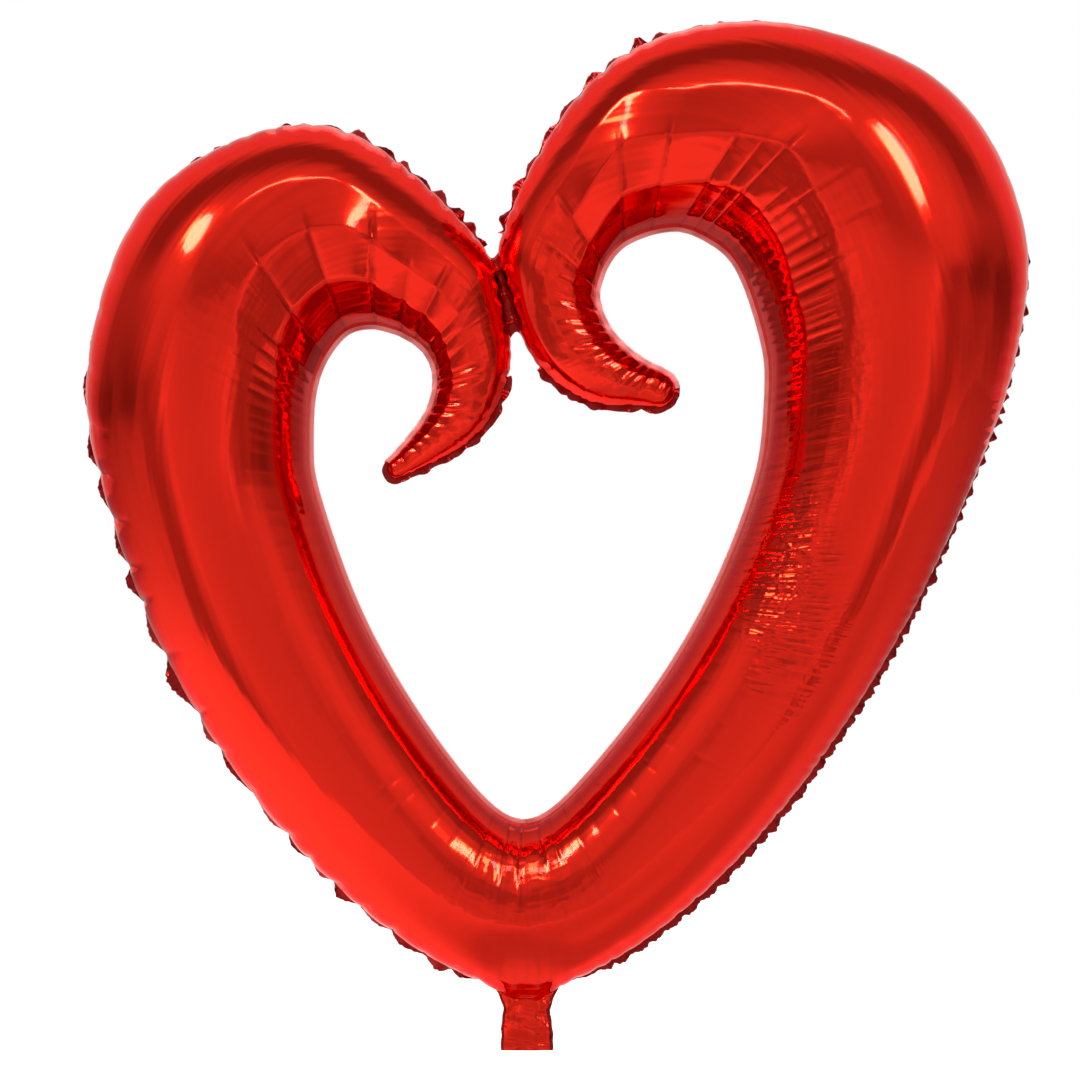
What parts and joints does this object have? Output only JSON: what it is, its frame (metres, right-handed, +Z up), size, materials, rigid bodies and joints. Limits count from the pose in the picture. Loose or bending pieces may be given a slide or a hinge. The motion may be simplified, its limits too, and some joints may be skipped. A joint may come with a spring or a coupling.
{
  "type": "foil balloon",
  "caption": "Inflated red foil balloon shaped as an open heart, with both lobes curled inwards into tapered tips and a flat filling tail at the bottom.",
  "frame": {"origin": "middle of the neck at the line where the ribbon is tied and the tail folds, in the seam plane", "axes": "+Z up from the tail to the lobes, front of the balloon faces -Y, +X to the right seen from the front"},
  "size_m": [0.9201, 0.2536, 0.996],
  "materials": {
    "red_foil": "mirror-smooth red metallised nylon film",
    "red_foil_seal": "red metallised film fused flat in two layers, gathered into small ruffles",
    "valve_film": "thin milky polyethylene film",
    "release_coat": "matt printed release coat"
  },
  "bodies": {
    "envelope": {"front_panel": "red_foil", "back_panel": "red_foil", "neck_front_ply": "red_foil", "neck_back_ply": "red_foil", "left_outer_seal": "red_foil_seal", "right_outer_seal": "red_foil_seal", "left_hook_seal": "red_foil_seal", "right_hook_seal": "red_foil_seal", "left_inner_seal": "red_foil_seal", "right_inner_seal": "red_foil_seal", "lobe_seal": "red_foil_seal", "neck_side_seals": "red_foil_seal", "valve_front_ply": "valve_film", "valve_back_ply": "valve_film", "valve_side_welds": "valve_film", "valve_release_coat": "release_coat"},
    "tail": {"tail_front_ply": "red_foil", "tail_back_ply": "red_foil", "tail_side_seals": "red_foil_seal", "valve_mouth_front_ply": "valve_film", "valve_mouth_back_ply": "valve_film", "valve_mouth_welds": "valve_film"}
  },
  "joints": [
    {"name": "tail_fold", "type": "hinge", "parent": "envelope", "child": "tail", "pos_m": [0, 0, 0], "axis": [1, 0, 0], "range_deg": [-105, 105]}
  ]
}
